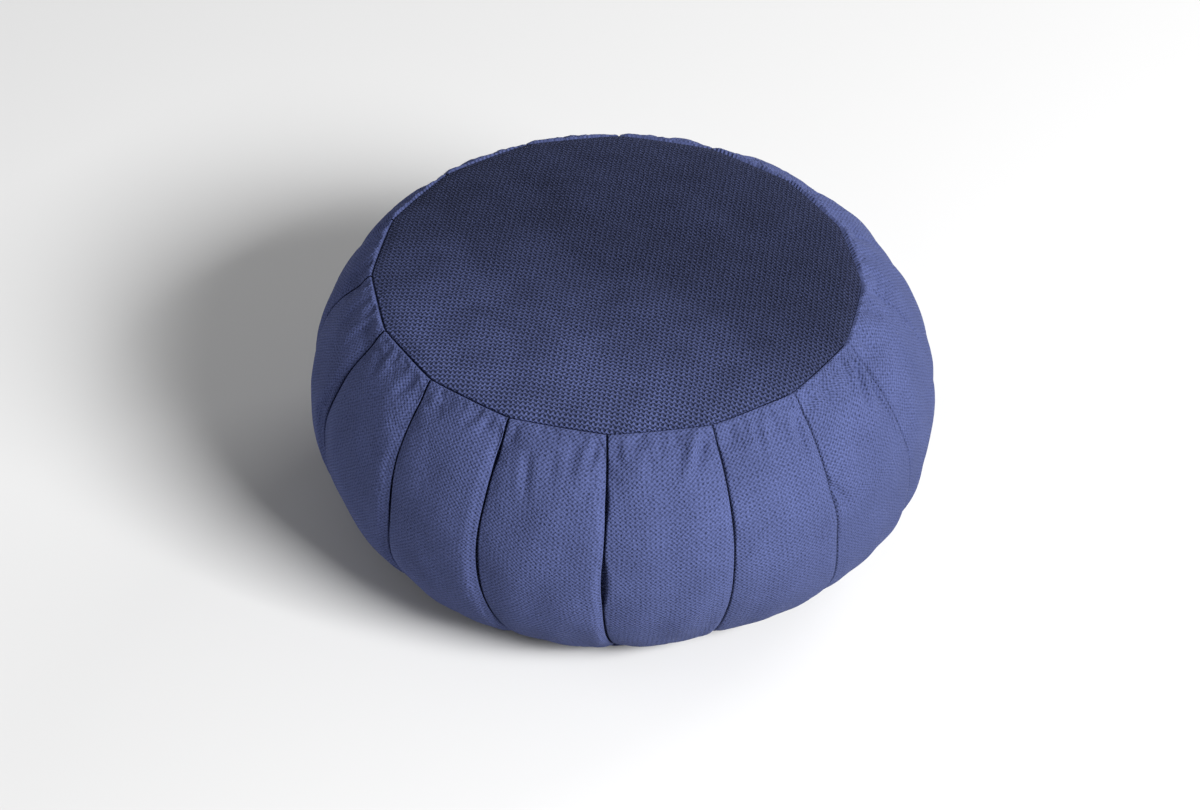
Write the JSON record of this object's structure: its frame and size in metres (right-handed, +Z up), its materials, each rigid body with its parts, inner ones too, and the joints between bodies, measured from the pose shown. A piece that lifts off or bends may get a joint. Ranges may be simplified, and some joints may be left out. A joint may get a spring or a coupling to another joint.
{
  "type": "round pleated floor cushion",
  "caption": "Round filled floor cushion for sitting, with a knife-pleated side band sewn between a crowned top disc and a flat bottom disc.",
  "frame": {"origin": "on the floor, under the middle of the cushion", "axes": "+Z up through the middle of the two discs, -Y towards the viewer of the picture, +X to the right"},
  "size_m": [0.3706, 0.376, 0.1755],
  "materials": {
    "side_fabric": "woven chenille, blue",
    "top_fabric": "woven chenille, blue",
    "bottom_fabric": "woven chenille, blue"
  },
  "bodies": {
    "root": {"pleated_body": "side_fabric", "top_disc": "top_fabric", "bottom_disc": "bottom_fabric"}
  },
  "joints": []
}
